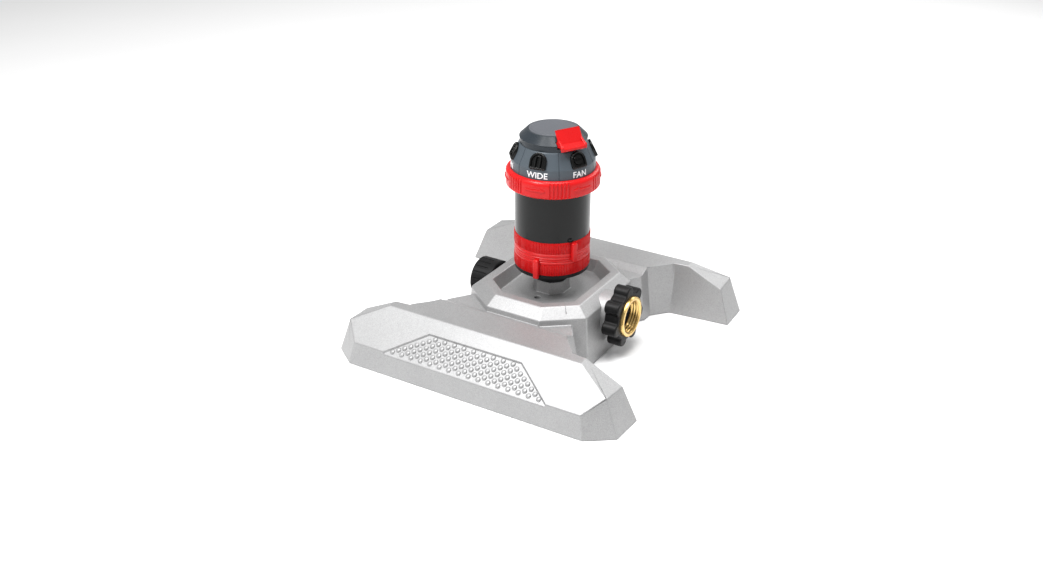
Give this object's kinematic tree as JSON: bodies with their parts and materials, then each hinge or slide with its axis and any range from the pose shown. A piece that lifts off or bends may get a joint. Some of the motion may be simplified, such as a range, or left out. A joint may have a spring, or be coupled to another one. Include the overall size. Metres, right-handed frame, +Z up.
{
  "type": "turret sprinkler",
  "caption": "Part-circle gear-drive turret lawn sprinkler on a cast sled base, with spray dial, stop rings, flap, threaded inlet and end cap.",
  "frame": {"origin": "centre of the footprint on the ground", "axes": "+X towards the hose inlet along the pads, +Z up, pads at -Y and +Y"},
  "size_m": [0.246, 0.2514, 0.1782],
  "materials": {
    "silver_paint": "satin silver paint with a fine metallic grain over cast metal",
    "red_plastic": "glossy moulded plastic",
    "dial_plastic": "blue-grey moulded plastic with a soft gloss",
    "cap_plastic": "dark slate moulded plastic",
    "disc_plastic": "light grey moulded plastic",
    "black_gloss": "near-black glossy plastic",
    "black_matte": "black moulded plastic",
    "gear_plastic": "natural acetal",
    "rubber": "black rubber",
    "brass": "machined brass",
    "steel": "bright steel"
  },
  "bodies": {
    "sled": {"base_casting": "silver_paint", "water_manifold": "black_matte", "manifold_screws": "steel", "riser_seal": "rubber", "turret_foot": "black_matte", "spindle_tube": "gear_plastic", "sun_gear": "gear_plastic"},
    "inlet_swivel": {"inlet_grip": "black_matte", "inlet_bush": "brass", "inlet_washer": "rubber"},
    "cap_washer": {"end_cap_washer": "rubber"},
    "end_cap": {"end_cap": "black_matte"},
    "lower_ring": {"lower_stop_ring": "red_plastic"},
    "upper_ring": {"upper_stop_ring": "red_plastic"},
    "turret": {"turret_shell": "black_gloss", "gear_cover": "black_matte", "gear_shafts": "steel", "port_core": "black_matte", "head_seal": "rubber", "top_cap": "cap_plastic", "cap_disc": "disc_plastic", "cap_screw": "steel", "flap_pin": "steel", "trip_spring": "steel"},
    "trip_ring": {"trip_ring": "gear_plastic"},
    "output_gear": {"output_gear": "gear_plastic"},
    "second_gear": {"second_gear": "gear_plastic"},
    "first_gear": {"first_gear": "gear_plastic"},
    "turbine": {"turbine": "gear_plastic"},
    "dial": {"spray_dial": "dial_plastic", "selector_ring": "red_plastic", "nozzle_flat": "black_gloss", "nozzle_cone": "black_gloss", "nozzle_jet": "black_gloss", "nozzle_mist": "black_gloss", "nozzle_shower": "black_gloss", "nozzle_fan": "black_gloss"},
    "flap": {"spray_flap": "red_plastic"}
  },
  "joints": [
    {"name": "turret_turn", "type": "hinge", "parent": "sled", "child": "turret", "pos_m": [0.0045, 0, 0], "axis": [0, 0, 1], "range_deg": [-140, 140]},
    {"name": "output_gear_turn", "type": "hinge", "parent": "turret", "child": "output_gear", "pos_m": [0.0135, 0.01559, 0.1], "axis": [0, 0, 1], "range_deg": [-285, 285]},
    {"name": "second_gear_turn", "type": "hinge", "parent": "turret", "child": "second_gear", "pos_m": [0.00358, 0.01798, 0.1], "axis": [0, 0, 1], "range_deg": [-677, 677]},
    {"name": "first_gear_turn", "type": "hinge", "parent": "turret", "child": "first_gear", "pos_m": [-0.00604, 0.01459, 0.1], "axis": [0, 0, 1], "range_deg": [-1617.8, 1617.8]},
    {"name": "turbine_turn", "type": "hinge", "parent": "turret", "child": "turbine", "pos_m": [-0.01228, 0.00652, 0.1], "axis": [0, 0, 1], "range_deg": [-3875.72, 3875.72]},
    {"name": "trip_shift", "type": "hinge", "parent": "turret", "child": "trip_ring", "pos_m": [0.0045, 0, 0], "axis": [0, 0, 1], "range_deg": [-4, 4]},
    {"name": "dial_select", "type": "hinge", "parent": "turret", "child": "dial", "pos_m": [0.0045, 0, 0], "axis": [0, 0, 1], "continuous": true},
    {"name": "flap_tilt", "type": "hinge", "parent": "turret", "child": "flap", "pos_m": [0.02297, -0.01041, 0.1666], "axis": [0.4909, 0.8712, 0], "range_deg": [0, 10]},
    {"name": "lower_ring_turn", "type": "hinge", "parent": "sled", "child": "lower_ring", "pos_m": [0.0045, 0, 0], "axis": [0, 0, 1], "range_deg": [0, 22]},
    {"name": "upper_ring_turn", "type": "hinge", "parent": "sled", "child": "upper_ring", "pos_m": [0.0045, 0, 0], "axis": [0, 0, 1], "range_deg": [-22, 0]},
    {"name": "inlet_swivel_turn", "type": "hinge", "parent": "sled", "child": "inlet_swivel", "pos_m": [0.07, 0, 0.0326], "axis": [1, 0, 0], "continuous": true},
    {"name": "cap_washer_slide", "type": "slide", "parent": "sled", "child": "cap_washer", "axis": [-1, 0, 0], "range_m": [0, 0.0134]},
    {"name": "end_cap_unscrew", "type": "hinge", "parent": "cap_washer", "child": "end_cap", "pos_m": [-0.055, 0, 0.0326], "axis": [-1, 0, 0], "range_deg": [0, 2160]}
  ],
  "couplings": [
    {"joint": "output_gear_turn", "follows": "turret_turn", "ratio": 2},
    {"joint": "second_gear_turn", "follows": "turret_turn", "ratio": -4.8},
    {"joint": "first_gear_turn", "follows": "turret_turn", "ratio": 11.52},
    {"joint": "turbine_turn", "follows": "turret_turn", "ratio": -27.648},
    {"joint": "cap_washer_slide", "follows": "end_cap_unscrew", "m_per_rad": 0.00035157}
  ]
}
